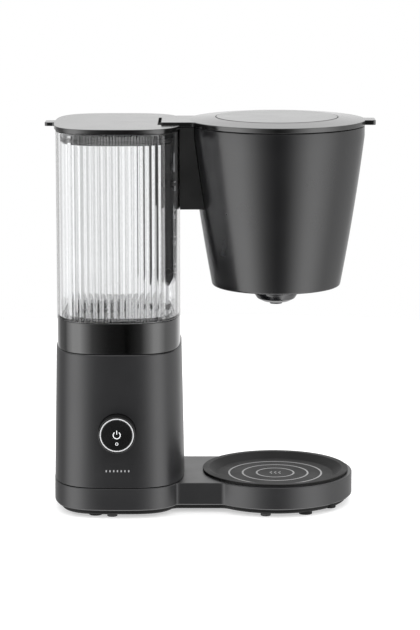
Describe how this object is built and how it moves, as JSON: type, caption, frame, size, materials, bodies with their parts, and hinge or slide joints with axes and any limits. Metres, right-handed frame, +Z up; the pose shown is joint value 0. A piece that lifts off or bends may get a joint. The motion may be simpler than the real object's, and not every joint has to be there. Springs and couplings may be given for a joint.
{
  "type": "drip coffee brewer",
  "caption": "Drip coffee brewer: clear fluted water tank on a tower, cone filter basket on an arm, round warming plate and a push button.",
  "frame": {"origin": "on the standing surface, at the centre of the bounding box", "axes": "+X to the right (tower at -X, warming plate at +X), +Y to the back (button faces -Y), +Z up"},
  "size_m": [0.32, 0.184, 0.382],
  "materials": {
    "housing_plastic": "fine-textured satin",
    "under_plastic": "matte",
    "foot_rubber": "matte",
    "pad_plastic": "matte",
    "screw_steel": "zinc plated",
    "gloss_band": "high gloss",
    "clear_tank": "clear moulded plastic",
    "seal_silicone": "matte",
    "inner_plastic": "satin",
    "white_plastic": "satin",
    "ball_steel": "polished",
    "hose_silicone": "translucent",
    "tube_steel": "satin",
    "bracket_plastic": "satin",
    "pin_steel": "polished",
    "plate_coating": "non-stick coating",
    "element_metal": "oxidised",
    "sheet_steel": "galvanised",
    "boiler_steel": "satin",
    "board_green": "lacquered",
    "wire_rubber": "satin",
    "spring_steel": "bright",
    "button_plastic": "satin gloss",
    "button_light": "lit diffuser",
    "lid_plastic": "satin",
    "inlay_plastic": "satin",
    "basket_plastic": "fine-textured satin",
    "insert_plastic": "satin",
    "nozzle_gloss": "gloss",
    "valve_plastic": "satin"
  },
  "bodies": {
    "root": {"base_shell": "housing_plastic", "bottom_cover": "under_plastic", "bottom_screws": "screw_steel", "rubber_feet": "foot_rubber", "glide_pads": "pad_plastic", "tower_housing": "housing_plastic", "housing_screws": "screw_steel", "tank_band": "gloss_band", "water_tank": "clear_tank", "tank_seal": "seal_silicone", "tank_strainer": "inner_plastic", "valve_gasket": "seal_silicone", "check_valve_body": "white_plastic", "inlet_hose": "hose_silicone", "outlet_hose": "hose_silicone", "riser_grommet": "seal_silicone", "riser_tube": "tube_steel", "riser_column": "inner_plastic", "riser_screw": "inner_plastic", "arm_bracket": "bracket_plastic", "bracket_screws": "screw_steel", "hinge_pins": "pin_steel", "warming_plate": "plate_coating", "plate_seal": "seal_silicone", "plate_element": "element_metal", "element_clamp": "sheet_steel", "clamp_bolt": "screw_steel", "plate_thermostat": "white_plastic", "thermal_fuses": "white_plastic", "boiler_drum": "boiler_steel", "boiler_gasket": "seal_silicone", "boiler_end_plate": "sheet_steel", "boiler_element": "element_metal", "boiler_bracket": "sheet_steel", "boiler_screws": "screw_steel", "control_board": "board_green", "board_screws": "screw_steel", "terminal_block": "white_plastic", "wiring": "wire_rubber", "micro_switch": "inner_plastic", "switch_bracket": "sheet_steel", "button_guide": "inner_plastic", "button_spring": "spring_steel", "cord_inlet": "inner_plastic"},
    "lid": {"tank_lid": "lid_plastic", "tank_lid_seal": "seal_silicone"},
    "cover": {"head_cover": "lid_plastic", "cover_inlay": "inlay_plastic", "cover_gasket": "seal_silicone", "water_channel": "inner_plastic", "shower_head": "inner_plastic"},
    "basket": {"filter_basket": "basket_plastic", "filter_insert": "insert_plastic", "outlet_nozzle": "nozzle_gloss", "drip_cage": "inner_plastic", "drip_spring": "spring_steel"},
    "valve": {"drip_valve": "valve_plastic"},
    "button": {"button_cap": "button_plastic", "button_ring": "button_light"},
    "ball": {"check_ball": "ball_steel"}
  },
  "joints": [
    {"name": "tank_lid_lift", "type": "slide", "parent": "root", "child": "lid", "axis": [0, 0, 1], "range_m": [0, 0.019]},
    {"name": "head_cover_tilt", "type": "hinge", "parent": "root", "child": "cover", "pos_m": [-0.0445, 0, 0.3735], "axis": [0, -1, 0], "range_deg": [0, 90]},
    {"name": "basket_slide", "type": "slide", "parent": "root", "child": "basket", "axis": [1, 0, 0], "range_m": [0, 0.17]},
    {"name": "drip_valve_lift", "type": "slide", "parent": "basket", "child": "valve", "axis": [0, 0, 1], "range_m": [0, 0.004], "stiffness_N_per_m": 150, "springref_m": -0.01, "deforming": ["drip_spring"]},
    {"name": "button_press", "type": "slide", "parent": "root", "child": "button", "axis": [0, 1, 0], "range_m": [0, 0.0025], "stiffness_N_per_m": 600, "springref_m": -0.002, "deforming": ["button_spring"]},
    {"name": "check_ball_lift", "type": "slide", "parent": "root", "child": "ball", "axis": [0, 0, 1], "range_m": [0, 0.005]}
  ]
}
